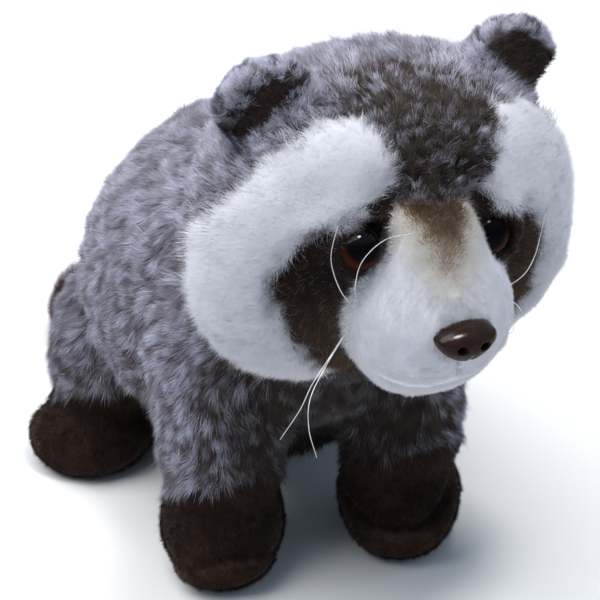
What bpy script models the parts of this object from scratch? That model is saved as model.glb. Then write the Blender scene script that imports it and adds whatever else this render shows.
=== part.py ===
"""A seated plush toy raccoon, sewn from long and short pile fabric and stuffed.

Metres, +Z up.  The toy faces -Y, its own left is +X, and it stands on the plane z = 0.
Every solid reaches out to the tips of its pile.
"""
import bpy
import bmesh
import numpy as np
from math import cos, pi, radians, sin

# ---- driving sizes, in metres ------------------------------------------------------------------
MM = 0.001
GAP = 0.3 * MM                      # clearance between neighbouring solids

HEAD_CENTRE = (0.0, -0.068, 0.154)
HEAD_PITCH = radians(12)            # the face looks down
HEAD_YAW = radians(4.5)             # and a little to its left
FACE_TILT = 0.10                    # slope of the eye and brow line, down to its left

EYE_RADIUS = 0.0075
EYE_PLACE = (0.0200, 0.0360, 0.0020)    # sideways, forward and up on the head
EAR_DENT = dict(centre=(0.042, -0.015, 0.040), reach=(0.009, 0.008, 0.011), amount=0.006)
CHEEK = dict(centre=(0.032, -0.014, -0.024), reach=(0.034, 0.036, 0.032))
CHEEK_RIGHT, CHEEK_LEFT = 0.0080, 0.0095    # how far each cheek is stuffed out
BROW = dict(centre=(0.030, -0.036, 0.020), reach=(0.018, 0.020, 0.012), amount=0.006)
BACK_HUMP = dict(centre=(0, 0.030, 0.110), reach=(0.034, 0.034, 0.030), amount=0.003)

FOREPAWS = {"right": (-0.031, -0.022), "left": (0.031, -0.026)}     # x and y of each wrist
BELLY_LEVEL = 0.002
HAUNCH_LEVEL = 0.004
TAIL_CUTS = (0.0, 0.36, 0.68, 1.0)      # its three lengths, as shares of the middle line
TAIL_LENGTH = 0.12

# ---- forms: a middle line, with half widths and half heights along it ------------------------------
TRUNK = dict(
    path=[(0, -0.052, 0.080), (0, -0.004, 0.087), (0, 0.046, 0.070), (0, 0.096, 0.042)],
    widths=[0.044, 0.055, 0.062, 0.054], heights=[0.046, 0.063, 0.060, 0.044],
    rings=14, segments=24, power=2.5)

# in the head's own directions, about its centre
SKULL = dict(
    path=[(0, 0.044, -0.004), (0, 0, -0.010), (0, -0.039, -0.015)],
    widths=[0.046, 0.056, 0.058], heights=[0.046, 0.051, 0.049],
    rings=16, segments=28, power=2.7, square=2.4)
MUZZLE = dict(
    path=[(0, -0.034, 0.020), (0, -0.040, 0.004), (0, -0.040, -0.014), (0, -0.038, -0.030),
          (0, -0.034, -0.046)],
    widths=[0.016, 0.019, 0.027, 0.029, 0.024], heights=[0.008, 0.013, 0.021, 0.024, 0.020],
    rings=11, segments=22, power=3.0)
NOSE = dict(
    path=[(0.0006, -0.050, -0.0150), (0.0006, -0.059, -0.0155), (0.0006, -0.0675, -0.0160)],
    widths=[0.0103, 0.0103, 0.0098], heights=[0.0062, 0.0062, 0.0062],
    rings=6, segments=16, power=3.0)
EAR = dict(
    path=[(0.035, -0.001, 0.024), (0.039, -0.003, 0.036), (0.0425, -0.004, 0.0485)],
    widths=[0.0155, 0.0160, 0.0140], heights=[0.0125, 0.0105, 0.0080],
    rings=8, segments=18, power=2.6)
EYE = dict(
    path=[(0, 0, -EYE_RADIUS), (0, 0, 0), (0, 0, EYE_RADIUS)],
    widths=[EYE_RADIUS] * 3, heights=[EYE_RADIUS] * 3, rings=8, segments=16, power=2)
NECK = dict(
    path=[(0, -0.012, 0.092), (0, -0.034, 0.114), (0, -0.058, 0.136)],
    widths=[0.044, 0.048, 0.044], heights=[0.040, 0.044, 0.040],
    rings=6, segments=18, power=2.6)

# about the wrist, on the floor below it
FORELEG = dict(
    path=[(0, 0.018, 0.108), (0, 0.009, 0.078), (0, 0.003, 0.048), (0, 0, 0.020)],
    widths=[0.020, 0.0240, 0.0235, 0.0225], heights=[0.026, 0.029, 0.025, 0.022],
    rings=10, segments=20, power=4)
FOREPAW = dict(
    path=[(0.004, 0.024, 0.016), (0.002, 0.006, 0.017), (-0.003, -0.008, 0.014),
          (-0.007, -0.018, 0.011), (-0.010, -0.027, 0.010)],
    widths=[0.019, 0.0220, 0.0210, 0.0180, 0.0175], heights=[0.018, 0.020, 0.017, 0.013, 0.0115],
    rings=11, segments=18, power=2.8)

# on the right-hand side
HAUNCH = dict(
    path=[(-0.036, 0.090, 0.036), (-0.043, 0.064, 0.038), (-0.047, 0.040, 0.037)],
    widths=[0.022, 0.024, 0.018], heights=[0.030, 0.036, 0.026],
    rings=9, segments=20, power=2.5)
HINDFOOT = dict(
    path=[(-0.034, 0.070, 0.010), (-0.053, 0.057, 0.010), (-0.071, 0.044, 0.009)],
    widths=[0.021, 0.023, 0.020], heights=[0.014, 0.0135, 0.0125],
    rings=9, segments=20, power=2.6)
TAIL = dict(
    path=[(0.006, 0.092, 0.036), (-0.016, 0.110, 0.022), (-0.031, 0.130, 0.0155),
          (-0.029, 0.152, 0.0145), (-0.008, 0.165, 0.0135)],
    widths=[0.0155, 0.0165, 0.0170, 0.0165, 0.0145], heights=[0.0145, 0.0155, 0.0160, 0.0155, 0.0140],
    rings=7, segments=16, power=3.2, side=(0, 0, 1))

# ---- fabrics and plastics: colour, roughness, metallic -------------------------------------------
FINISHES = {
    "grey_plush": ((0.27, 0.26, 0.29), 0.95, 0.0),
    "white_plush": ((0.75, 0.76, 0.80), 0.95, 0.0),
    "brown_plush": ((0.045, 0.028, 0.022), 0.9, 0.0),
    "eye_plastic": ((0.03, 0.012, 0.008), 0.08, 0.0),
    "nose_plastic": ((0.05, 0.022, 0.018), 0.25, 0.0),
}


def clear_scene():
    for thing in list(bpy.data.objects):
        bpy.data.objects.remove(thing, do_unlink=True)


def finish(slot):
    """One Principled material per fabric or plastic."""
    known = bpy.data.materials.get(slot)
    if known:
        return known
    colour, roughness, metallic = FINISHES[slot]
    material = bpy.data.materials.new(slot)
    material.use_nodes = True
    shader = material.node_tree.nodes["Principled BSDF"]
    shader.inputs["Base Color"].default_value = (*colour, 1.0)
    shader.inputs["Roughness"].default_value = roughness
    shader.inputs["Metallic"].default_value = metallic
    material.diffuse_color = (*colour, 1.0)
    return material


def smooth_through(values, u):
    """An open Catmull-Rom curve through evenly spaced values, read at parameters u in 0..1."""
    rows = np.asarray(values, dtype=float)
    if rows.ndim == 1:
        rows = rows[:, None]
    padded = np.vstack([2 * rows[0] - rows[1], rows, 2 * rows[-1] - rows[-2]])
    t = np.asarray(u) * (len(rows) - 1)
    low = np.minimum(t.astype(int), len(rows) - 2)
    f = (t - low)[:, None]
    a, b, c, d = (padded[low + k] for k in range(4))
    return 0.5 * (2 * b + (c - a) * f + (2 * a - 5 * b + 4 * c - d) * f ** 2
                  + (3 * b - a - 3 * c + d) * f ** 3)


def unit(rows):
    return rows / np.linalg.norm(rows, axis=-1, keepdims=True)


def sweep(path, widths, heights, rings=12, segments=20, power=2.3, side=(1, 0, 0), square=2.0,
          span=(0.0, 1.0)):
    """Points of a stuffed form: rounds across a smooth path, closing to round ends.

    widths and heights are half sizes along the path.  side is the direction of the widths.
    power sets how full the two ends are, and square how full each round is: 2 is an ellipse.
    span keeps only a stretch of the path, cut flat where it isn't a round end.
    """
    u = (1 - np.cos(np.linspace(0, pi, rings + 2))) / 2
    if span != (0.0, 1.0):
        u = span[0] + (span[1] - span[0]) * u
        u[1] = u[0] if span[0] > 0 else u[1]
        u[-2] = u[-1] if span[1] < 1 else u[-2]
    centre = smooth_through(path, u)
    nearby = 0.001
    tangent = unit(smooth_through(path, np.minimum(u + nearby, 1))
                   - smooth_through(path, np.maximum(u - nearby, 0)))
    across = np.array(side, dtype=float)
    across = unit(across - (tangent @ across)[:, None] * tangent)
    rise = np.cross(across, tangent)
    end = (1 - np.abs(2 * u - 1) ** power) ** (1 / power)
    wide = smooth_through(widths, u)[:, 0] * end
    high = smooth_through(heights, u)[:, 0] * end
    angle = np.arange(segments) * 2 * pi / segments
    over = np.sign(np.cos(angle)) * np.abs(np.cos(angle)) ** (2 / square)
    rose = np.sign(np.sin(angle)) * np.abs(np.sin(angle)) ** (2 / square)
    ring = (centre[:, None] + across[:, None] * (wide[:, None] * over)[..., None]
            + rise[:, None] * (high[:, None] * rose)[..., None])
    return np.vstack([centre[:1], ring[1:-1].reshape(-1, 3), centre[-1:]])


def swell(points, centre, reach, amount, direction=None, x_sign=1, tilt=0.0):
    """Push the points near a centre outward, or along a direction, in a smooth hump.

    x_sign puts the centre on the toy's left (1) or right (-1), and tilt lowers it by that
    share of its distance to the left.
    """
    x = centre[0] * x_sign
    offset = points - np.array((x, centre[1], centre[2] - x * tilt))
    weight = np.exp(-np.sum((offset / np.array(reach)) ** 2, axis=1))[:, None]
    if direction is None:
        return points + unit(offset) * weight * amount
    return points + np.array(direction) * weight * amount


def turned(points, pivot, pitch=0.0, yaw=0.0, roll=0.0):
    """Turn points about a pivot: pitch about X, then roll about Y, then yaw about Z."""
    cp, sp, cy, sy, cr, sr = cos(pitch), sin(pitch), cos(yaw), sin(yaw), cos(roll), sin(roll)
    about_x = np.array([[1, 0, 0], [0, cp, -sp], [0, sp, cp]])
    about_y = np.array([[cr, 0, sr], [0, 1, 0], [-sr, 0, cr]])
    about_z = np.array([[cy, -sy, 0], [sy, cy, 0], [0, 0, 1]])
    return (points - pivot) @ (about_z @ about_y @ about_x).T + pivot


def on_floor(points, level=0.0):
    """Flatten what would sink below the floor."""
    flat = points.copy()
    flat[:, 2] = np.maximum(flat[:, 2], level)
    return flat


def mirrored(points):
    return points * (-1, 1, 1)


def tube_faces(count, segments):
    """Faces of a pole, rings and a pole, for count points in all."""
    rings = (count - 2) // segments
    faces = []
    for k in range(segments):
        j = (k + 1) % segments
        faces.append((0, 1 + k, 1 + j))
        for r in range(rings - 1):
            a = 1 + r * segments
            faces.append((a + k, a + segments + k, a + segments + j))
            faces.append((a + k, a + segments + j, a + j))
        last = 1 + (rings - 1) * segments
        faces.append((last + k, count - 1, last + j))
    return faces


def make(name, points, form, slot):
    """A named object from the points swept for a form."""
    faces = tube_faces(len(points), form["segments"])
    mesh = bpy.data.meshes.new(name)
    mesh.from_pydata([tuple(p) for p in points], [], faces)
    mesh.materials.append(finish(slot))
    mesh.validate()
    shape = bpy.data.objects.new(name, mesh)
    bpy.context.collection.objects.link(shape)
    if signed_volume(mesh) < 0:
        mesh.flip_normals()
    mesh.shade_smooth()
    return shape


def signed_volume(mesh):
    total = 0.0
    for polygon in mesh.polygons:
        corners = [mesh.vertices[i].co for i in polygon.vertices]
        for k in range(1, len(corners) - 1):
            total += corners[0].dot(corners[k].cross(corners[k + 1]))
    return total / 6


def carve(piece, *neighbours, gap=1.5 * GAP):
    """Cut each neighbour's form out of a piece, with a clearance all round."""
    for neighbour in neighbours:
        cutter = neighbour.copy()
        cutter.data = neighbour.data.copy()
        cutter.modifiers.clear()
        cutter.name = "cutter_" + neighbour.name
        cutter.hide_render = True
        cutter.display_type = "WIRE"
        bpy.context.collection.objects.link(cutter)
        normals = [v.normal.copy() for v in cutter.data.vertices]
        for vertex, normal in zip(cutter.data.vertices, normals):
            vertex.co += normal * gap
        cut = piece.modifiers.new("clear_" + neighbour.name, "BOOLEAN")
        cut.operation = "DIFFERENCE"
        cut.object = cutter


def boxes_meet(one, other, margin=0.001):
    """Whether two objects' bounding boxes come within a margin of each other."""
    boxes = []
    for shape in (one, other):
        places = np.array([v.co for v in shape.data.vertices])
        boxes.append((places.min(axis=0) - margin / 2, places.max(axis=0) + margin / 2))
    return bool(np.all(boxes[0][0] < boxes[1][1]) and np.all(boxes[1][0] < boxes[0][1]))


def settle(pieces):
    """Turn every cut piece into a plain mesh of its one main body, without crumbs."""
    graph = bpy.context.evaluated_depsgraph_get()
    cut = [bpy.data.meshes.new_from_object(piece.evaluated_get(graph)) for piece in pieces]
    for piece, mesh in zip(pieces, cut):
        piece.modifiers.clear()
        shell = bmesh.new()
        shell.from_mesh(mesh)
        main = max(islands(shell), key=lambda faces: sum(face.calc_area() for face in faces))
        crumbs = [face for face in shell.faces if face not in main]
        bmesh.ops.delete(shell, geom=crumbs, context="FACES")
        bmesh.ops.triangulate(shell, faces=shell.faces)
        shell.to_mesh(mesh)
        shell.free()
        piece.data = mesh
    for thing in list(bpy.data.objects):
        if thing.name.startswith("cutter_"):
            bpy.data.objects.remove(thing, do_unlink=True)


def centred(pieces):
    """Slide all pieces so the middle of their common box stands over the origin."""
    places = np.array([v.co for piece in pieces for v in piece.data.vertices])
    middle = (places.min(axis=0) + places.max(axis=0)) / 2
    for piece in pieces:
        for vertex in piece.data.vertices:
            vertex.co.x -= middle[0]
            vertex.co.y -= middle[1]


def islands(shell):
    """Sets of faces that hang together."""
    left = set(shell.faces)
    found = []
    while left:
        group = {left.pop()}
        edge_of_group = list(group)
        while edge_of_group:
            face = edge_of_group.pop()
            for edge in face.edges:
                for near in edge.link_faces:
                    if near in left:
                        left.remove(near)
                        group.add(near)
                        edge_of_group.append(near)
        found.append(group)
    return found


def both_sides(name, points, form, slot):
    """The right-hand form and its mirror image on the left, as two objects."""
    return make(name + "_right", points, form, slot), make(name + "_left", mirrored(points), form, slot)


def on_head(points):
    """Carry points from the head's own directions to its place on the toy."""
    centre = np.array(HEAD_CENTRE)
    return turned(np.atleast_2d(points) + centre, centre, pitch=HEAD_PITCH, yaw=HEAD_YAW)


def head_place(x, forward, up, tilt=0.0):
    """One place on the head: forward is towards the nose, and tilt slopes the face's line
    down towards its left."""
    return on_head((x, -forward, up - x * tilt))[0]


clear_scene()

# ---- trunk -----------------------------------------------------------------------------------
trunk = make("trunk", on_floor(swell(sweep(**TRUNK), **BACK_HUMP), BELLY_LEVEL), TRUNK, "grey_plush")

# ---- head: skull, cheeks and brows --------------------------------------------------------------
skull = sweep(**SKULL)
for x, cheek in ((-1, CHEEK_RIGHT), (1, CHEEK_LEFT)):
    skull = swell(skull, x_sign=x, amount=cheek, **CHEEK)
    skull = swell(skull, x_sign=x, tilt=FACE_TILT, **BROW)
head = make("head", on_head(skull), SKULL, "grey_plush")
muzzle = make("muzzle", on_head(sweep(**MUZZLE)), MUZZLE, "white_plush")
nose = make("nose", on_head(sweep(**NOSE)), NOSE, "nose_plastic")

# ---- eyes and ears -------------------------------------------------------------------------------
eyes, ears = [], []
for side, x in (("right", -1), ("left", 1)):
    centre = head_place(x * EYE_PLACE[0], *EYE_PLACE[1:], FACE_TILT)
    eyes.append(make("eye_" + side, sweep(**EYE) + centre, EYE, "eye_plastic"))
    ear = swell(sweep(**EAR), direction=(0, 1, 0), **EAR_DENT)
    ears.append(make("ear_" + side, on_head(ear * (x, 1, 1)), EAR, "grey_plush"))

# ---- neck, forelegs and forepaws -------------------------------------------------------------------
neck = make("neck", sweep(**NECK), NECK, "grey_plush")
forelegs, forepaws = [], []
for side, wrist in FOREPAWS.items():
    place = (*wrist, 0)
    forelegs.append(make("foreleg_" + side, sweep(**FORELEG) + place, FORELEG, "grey_plush"))
    forepaws.append(make("forepaw_" + side, on_floor(sweep(**FOREPAW) + place), FOREPAW, "brown_plush"))

# ---- haunches and hind feet ------------------------------------------------------------------------
haunches = both_sides("haunch", on_floor(sweep(**HAUNCH), HAUNCH_LEVEL), HAUNCH, "grey_plush")
hindfeet = both_sides("hindfoot", on_floor(sweep(**HINDFOOT)), HINDFOOT, "brown_plush")

# ---- tail, in three lengths ----------------------------------------------------------------------
tails = []
clear = GAP / TAIL_LENGTH / 2
for part, start, end in zip(("root", "middle", "tip"), TAIL_CUTS[:-1], TAIL_CUTS[1:]):
    span = (start + clear * (start > 0), end - clear * (end < 1))
    tails.append(make("tail_" + part, on_floor(sweep(span=span, **TAIL)), TAIL, "brown_plush"))

# ---- clearances ------------------------------------------------------------------------------------
# Each piece gives way to those before it, so that none of them overlap.
in_order = [*eyes, nose, head, muzzle, *ears, neck, *forepaws, *hindfeet, trunk, *forelegs, *haunches, *tails]
for rank, piece in enumerate(in_order):
    carve(piece, *[other for other in in_order[:rank] if boxes_meet(piece, other)])
settle(in_order)
centred(in_order)
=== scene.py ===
import bpy
import bmesh
import numpy as np
from itertools import product
from math import cos, pi, radians, sin
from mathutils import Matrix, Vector


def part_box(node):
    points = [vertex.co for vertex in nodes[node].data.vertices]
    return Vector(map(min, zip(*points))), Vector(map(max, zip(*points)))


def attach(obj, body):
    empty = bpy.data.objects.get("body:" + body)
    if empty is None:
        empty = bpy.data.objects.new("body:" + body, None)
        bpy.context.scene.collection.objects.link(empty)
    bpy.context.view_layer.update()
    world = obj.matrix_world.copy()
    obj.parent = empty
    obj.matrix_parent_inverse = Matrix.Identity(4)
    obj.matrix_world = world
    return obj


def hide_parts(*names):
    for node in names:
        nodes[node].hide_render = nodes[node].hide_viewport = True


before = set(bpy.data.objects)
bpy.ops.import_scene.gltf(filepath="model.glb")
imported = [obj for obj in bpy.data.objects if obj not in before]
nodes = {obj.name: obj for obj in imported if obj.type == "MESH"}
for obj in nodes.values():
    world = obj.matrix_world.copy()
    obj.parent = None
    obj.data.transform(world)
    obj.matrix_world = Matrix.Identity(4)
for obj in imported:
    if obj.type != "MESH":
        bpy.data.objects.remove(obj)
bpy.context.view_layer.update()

# a stuffed raccoon: one skin for all its cloth, a pile of solid strands sewn over it, plastic eyes and nose
head = dict(centre=(0, -0.08818, 0.154), pitch=radians(12), yaw=radians(4.5))


def unit(rows):
    # each row divided by its own length
    return rows / np.maximum(np.linalg.norm(rows, axis=-1, keepdims=True), 1e-12)


def mixed(a, b, amount):
    # a where amount is 0 and b where it is 1
    return a + (b - a) * amount


def ramp(value, low, high):
    # an s-curve from 0 at low to 1 at high: 3t^2 - 2t^3
    t = np.clip((value - low) / (high - low), 0, 1)
    return t * t * (3 - 2 * t)


def bell(value, width):
    # 1 at 0, and falling off both ways: e^-(value/width)^2
    return np.exp(-(value / width) ** 2)


scatter = dict(axes=(73856093, 19349663, 83492791), seed=7919,
               mixers=((13, 1274126177), (15, 668265263)), last=14)


def cellNumber(cells, seed):
    # a number in 0..1 for each whole-number cell, from multiplied and xor-ed coordinates
    n = seed * scatter["seed"]
    for axis, factor in enumerate(scatter["axes"]):
        n = n ^ (cells[..., axis] * factor)
    for shift, factor in scatter["mixers"]:
        n = ((n ^ (n >> shift)) * factor) & 0x7fffffff
    return ((n ^ (n >> scatter["last"])) & 0xffff) / 65535.0


def softNoise(points, size, seed):
    # numbers at a lattice's corners, blended over each cell by s-curves of the place inside it
    scaled = points / size
    low = np.floor(scaled).astype(np.int64)
    f = scaled - low
    f = f * f * (3 - 2 * f)
    total = np.zeros(len(points))
    for corner in product((0, 1), repeat=3):
        total += np.prod(np.where(corner, f, 1 - f), axis=1) * cellNumber(low + corner, seed)
    return total


def wander(points, size, seed, amount):
    # soft noise about zero, amount between its lowest and its highest
    return (softNoise(points, size, seed) - 0.5) * amount


def nearestSeed(points, lean, size, stretch, seed):
    # one scattered seed in each cell of a lattice, with lengths along lean counted as 1/stretch: the nearest,
    # its number, and how far inside its cell each point is
    low = np.floor(points / size).astype(np.int64)
    best, second = np.full((2, len(points)), np.inf)
    place = np.zeros_like(points)
    number = np.zeros(len(points))
    for step in product((-1, 0, 1), repeat=3):
        cell = low + step
        toSeed = (cell + np.stack([cellNumber(cell, seed + k) for k in range(3)], axis=1)) * size - points
        away = np.sum(toSeed ** 2, axis=1) - (1 - stretch ** -2) * np.sum(toSeed * lean, axis=1) ** 2
        nearer = away < best
        second = np.where(nearer, best, np.minimum(second, away))
        best = np.where(nearer, away, best)
        place = np.where(nearer[:, None], toSeed + points, place)
        number = np.where(nearer, cellNumber(cell, seed + 9), number)
    return place, number, (np.sqrt(second) - np.sqrt(best)) / size


def relaxed(values, rounds, pull=0.5, push=0.0):
    # over the skin's edges: each round moves a value towards the mean of its neighbours, then back by push to
    # keep its size
    flat = values.reshape(len(values), -1).copy()
    ends, others = edges.T.ravel(), edges.T[::-1].ravel()
    count = np.bincount(ends)[:, None]
    for amount in ((pull, -push) if push else (pull,)) * rounds:
        mean = np.stack([np.bincount(ends, row[others]) for row in flat.T], axis=1) / count
        flat += (mean - flat) * amount
    return flat.reshape(values.shape)


def flattened(ways, normals):
    # directions laid along the surface: what is left of them without their part along its normals
    return ways - normals * np.sum(ways * normals, axis=1)[:, None]


def faceNormals(points):
    # the cross product of each quad's two diagonals, as long as twice its area
    a, b, c, d = (points[quads[:, k]] for k in range(4))
    return np.cross(c - a, d - b)


def pointNormals(points):
    # the sum of the normals of the faces round a point
    ends, rows = quads.ravel(), np.repeat(faceNormals(points), 4, axis=0).T
    return unit(np.stack([np.bincount(ends, row) for row in rows], axis=1))


def headTurn():
    # the head's own directions seen from the toy's: pitched about x, then turned about z
    cp, sp, cy, sy = cos(head["pitch"]), sin(head["pitch"]), cos(head["yaw"]), sin(head["yaw"])
    aboutX = np.array([[1, 0, 0], [0, cp, -sp], [0, sp, cp]])
    aboutZ = np.array([[cy, -sy, 0], [sy, cy, 0], [0, 0, 1]])
    return aboutZ @ aboutX


def onHead(points):
    # from the toy's places to the head's own, about its centre: x to its left, y backwards, z up
    return (points - head["centre"]) @ headTurn()


def offHead(points):
    # the way back from the head's own places
    return points @ headTurn().T + head["centre"]


def headWays(ways):
    # the head's own directions as the toy's
    return offHead(ways) - head["centre"]


def squaresTo(points, marks):
    # squared distances from every point to every mark: |a|^2 - 2ab + |b|^2
    return np.sum(points ** 2, axis=1)[:, None] - 2 * points @ marks.T + np.sum(marks ** 2, axis=1)


def middleOf(name):
    # the middle of a CAD node's box
    return np.mean(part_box(name), axis=0)


def bySide(x, right, left):
    # the first on the toy's right half, the second on its left
    return np.where(x < 0, right, left)


def curveThrough(values, u):
    # Catmull-Rom: a cubic between each pair of rows whose slopes come from the rows either side
    rows = np.array(values)
    padded = np.vstack([2 * rows[0] - rows[1], rows, 2 * rows[-1] - rows[-2]])
    t = u * (len(rows) - 1)
    low = np.minimum(t.astype(int), len(rows) - 2)
    f = (t - low)[:, None]
    a, b, c, d = (padded[low + k] for k in range(4))
    return 0.5 * (2 * b + (c - a) * f + (2 * a - 5 * b + 4 * c - d) * f ** 2
                  + (3 * b - a - 3 * c + d) * f ** 3)


def insideBy(places, outline):
    # distance to a closed outline in the plane, positive inside it
    corners = np.array(outline)
    nearest = np.full(len(places), np.inf)
    inside = np.zeros(len(places), dtype=bool)
    for a, b in zip(corners, np.roll(corners, -1, axis=0)):
        side, away = b - a, places - a
        along = np.clip(away @ side / (side @ side), 0, 1)
        nearest = np.minimum(nearest, np.linalg.norm(away - along[:, None] * side, axis=1))
        crosses = (a[1] > places[:, 1]) != (b[1] > places[:, 1])
        slope = side[0] / (side[1] or 1e-12)
        inside ^= crosses & (places[:, 0] < a[0] + slope * away[:, 1])
    return np.where(inside, nearest, -nearest)


class Wire:
    # a shader socket that adds Math nodes when it is used in sums
    def __init__(self, finish, socket):
        self.finish = finish
        self.socket = socket

    def sum(self, operation, other, swapped=False):
        pair = (other, self) if swapped else (self, other)
        return self.finish.add("Math", dict(operation=operation), dict(enumerate(pair)))

    def __add__(self, other):
        return self.sum("ADD", other)

    def __sub__(self, other):
        return self.sum("SUBTRACT", other)

    def __rsub__(self, other):
        return self.sum("SUBTRACT", other, True)

    def __mul__(self, other):
        return self.sum("MULTIPLY", other)

    def __pow__(self, other):
        return self.sum("POWER", other)


class Finish:
    # one material and its nodes
    def __init__(self, name, **steady):
        self.material = bpy.data.materials.new(name)
        self.material.use_nodes = True
        self.tree = self.material.node_tree
        self.shader = self.tree.nodes["Principled BSDF"]
        self.paint(**steady)

    def add(self, kind, settings=None, values=None, out=0):
        node = self.tree.nodes.new("ShaderNode" + kind)
        for key, value in (settings or {}).items():
            setattr(node, key, value)
        for key, value in (values or {}).items():
            self.feed(node.inputs[key], value)
        return Wire(self, node.outputs[out])

    def feed(self, socket, value):
        if isinstance(value, Wire):
            self.tree.links.new(value.socket, socket)
        elif socket.type == "RGBA":
            socket.default_value = (*value, 1)
        else:
            socket.default_value = value

    def blend(self, factor, a, b, way="MIX"):
        settings = dict(data_type="RGBA", blend_type=way)
        return self.add("Mix", settings, {0: factor, 6: a, 7: b}, out=2)

    def here(self):
        return self.add("TexCoord", out=3)

    def tint(self, out=0):
        return self.add("Attribute", dict(attribute_name="tint"), out=out)

    def vector(self, operation, a, b=(0, 0, 0), out=0):
        return self.add("VectorMath", dict(operation=operation), {0: a, 1: b}, out)

    def heightOf(self, place):
        return self.add("SeparateXYZ", None, {0: place}, out=2)

    def noise(self, scale, detail=2.0, roughness=0.5):
        return self.add("TexNoise", None,
                        dict(Vector=self.here(), Scale=scale, Detail=detail, Roughness=roughness))

    def mottled(self, scale, detail, dark, pale):
        return self.ramp(self.noise(scale, detail), (0.3, dark), (0.7, pale))

    def ramp(self, factor, *stops):
        wire = self.add("ValToRGB", None, {0: factor})
        elements = wire.socket.node.color_ramp.elements
        while len(elements) < len(stops):
            elements.new(0.5)
        for element, (place, shade) in zip(elements, stops):
            element.position = place
            element.color = (shade, shade, shade, 1) if isinstance(shade, float) else (*shade, 1)
        return wire

    def paint(self, **inputs):
        for socket, value in inputs.items():
            self.feed(self.shader.inputs[socket.replace("_", " ")], value)
        return self.material

    def bump(self, height, strength, distance):
        return self.add("Bump", None, dict(Height=height, Strength=strength, Distance=distance))


def pileFinish(name, sheen, roughness, fleck, edge=(1, 1, 1)):
    # dyed strands: the woven-in tint of each, times a slow drift of shade and small flecks
    f = Finish(name, Roughness=roughness, Sheen_Weight=sheen, Sheen_Roughness=0.4, Specular_IOR_Level=0.15,
               Sheen_Tint=edge)
    drift = f.mottled(90.0, 3.0, 1 - fleck, 1.0)
    grain = f.mottled(1500.0, 2.0, 1 - fleck, 1.0)
    return f.paint(Base_Color=f.blend(1.0, f.blend(1.0, f.tint(), drift, "MULTIPLY"), grain, "MULTIPLY"))


def clothFinish():
    # the cloth in the pile's colours, painted shade among them: pale specks where the tint's alpha asks for
    # them, and a fine nap
    f = Finish("backingCloth", Roughness=0.95, Specular_IOR_Level=0.1, Sheen_Weight=0.2, Sheen_Roughness=0.5)
    nap = f.noise(2600.0, 3.0, 0.6)
    # pale specks: partly pale fibres, partly painted glints of the fibres' sheen
    specks = f.ramp(nap, (0.52, 0.0), (0.7, 1.0))
    shade = f.blend(specks * f.tint(out=3) * 0.7, f.tint(), (0.085, 0.06, 0.048))
    return f.paint(Base_Color=shade, Normal=f.bump(nap, 0.35, 0.0003))


def placed(name, data):
    # a new piece in the scene, at the origin
    piece = bpy.data.objects.new(name, data)
    bpy.context.collection.objects.link(piece)
    return piece


# the voxel join, how nodes blend, and how deep the skin lies under the pile of each part and of each fabric,
# and in the rings sewn down round the eyes and the nose
cloth = dict(
    cell=0.0016, join=0.0006, blend=0.004,
    depth=dict(trunk=0.003, neck=0.0029, head=0.0034, muzzle=0.0026, ear=0.0014, foreleg=0.0034,
               haunch=0.0027, forepaw=0.002, hindfoot=0.002, tail=0.0042),
    fabricDepth=dict(patch=0.0018, mask=0.0036, muzzle=0.0016, paw=0.0014),
    eyeRing=dict(depth=0.0013, reach=(0.0135, 0.0095)),
    noseRing=dict(depth=0.0003, reach=(0.0125, 0.0085), place=(0.0008, -0.06, -0.016), stretch=(1.3, 1, 1)))

fleshNodes = [name for name in sorted(nodes) if not name.startswith("eye") and name != "nose"]
kindOf = {name: name.split("_")[0] for name in fleshNodes}


def soupOf(names, grow):
    # several nodes in one mesh, each merged from its loose triangles and moved out along its normals
    soup = bmesh.new()
    for name in names:
        shell = bmesh.new()
        shell.from_mesh(nodes[name].data)
        bmesh.ops.remove_doubles(shell, verts=shell.verts, dist=1e-5)
        shell.normal_update()
        for vert in shell.verts:
            vert.co += vert.normal * grow
        merged = bpy.data.meshes.new("merged")
        shell.to_mesh(merged)
        shell.free()
        soup.from_mesh(merged)
    mesh = bpy.data.meshes.new("soup")
    soup.to_mesh(mesh)
    soup.free()
    return mesh


def numbersOf(items, key, width, kind=float):
    # one property of many mesh elements in one array
    found = np.empty(len(items) * width, kind)
    items.foreach_get(key, found)
    return found.reshape(-1, width)


soupPiece = placed("soup", soupOf(fleshNodes, cloth["join"]))
remesh = soupPiece.modifiers.new("remesh", "REMESH")
remesh.mode = "VOXEL"
remesh.voxel_size = cloth["cell"]
skinMesh = bpy.data.meshes.new_from_object(soupPiece.evaluated_get(bpy.context.evaluated_depsgraph_get()))
bpy.data.objects.remove(soupPiece)
skinMesh.name = "plushSkin"

outer = numbersOf(skinMesh.vertices, "co", 3)
quads = numbersOf(skinMesh.loops, "vertex_index", 1, int).reshape(-1, 4)
edges = numbersOf(skinMesh.edges, "vertices", 2, int)
outer = relaxed(outer, 14, pull=0.55, push=0.35)


def distanceTo(points, name):
    # to the nearest corner or face centre of a node
    marks = numbersOf(nodes[name].data.vertices, "co", 3)
    marks = np.unique(np.round(np.vstack([marks, marks.reshape(-1, 3, 3).mean(axis=1)]), 4), axis=0)
    return np.sqrt(np.maximum(squaresTo(points, marks).min(axis=1), 0))


# each point's share of every node, which fades with distance
away = np.stack([distanceTo(outer, name) for name in fleshNodes], axis=1)
belongs = np.exp(-(away / cloth["blend"]) ** 2 / 2) + 1e-9
belongs /= belongs.sum(axis=1, keepdims=True)
belongs = relaxed(belongs, 6)
share = {name: belongs[:, k] for k, name in enumerate(fleshNodes)}
shareOfKind = {kind: sum(share[name] for name in fleshNodes if kindOf[name] == kind)
               for kind in sorted(set(kindOf.values()))}

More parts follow.
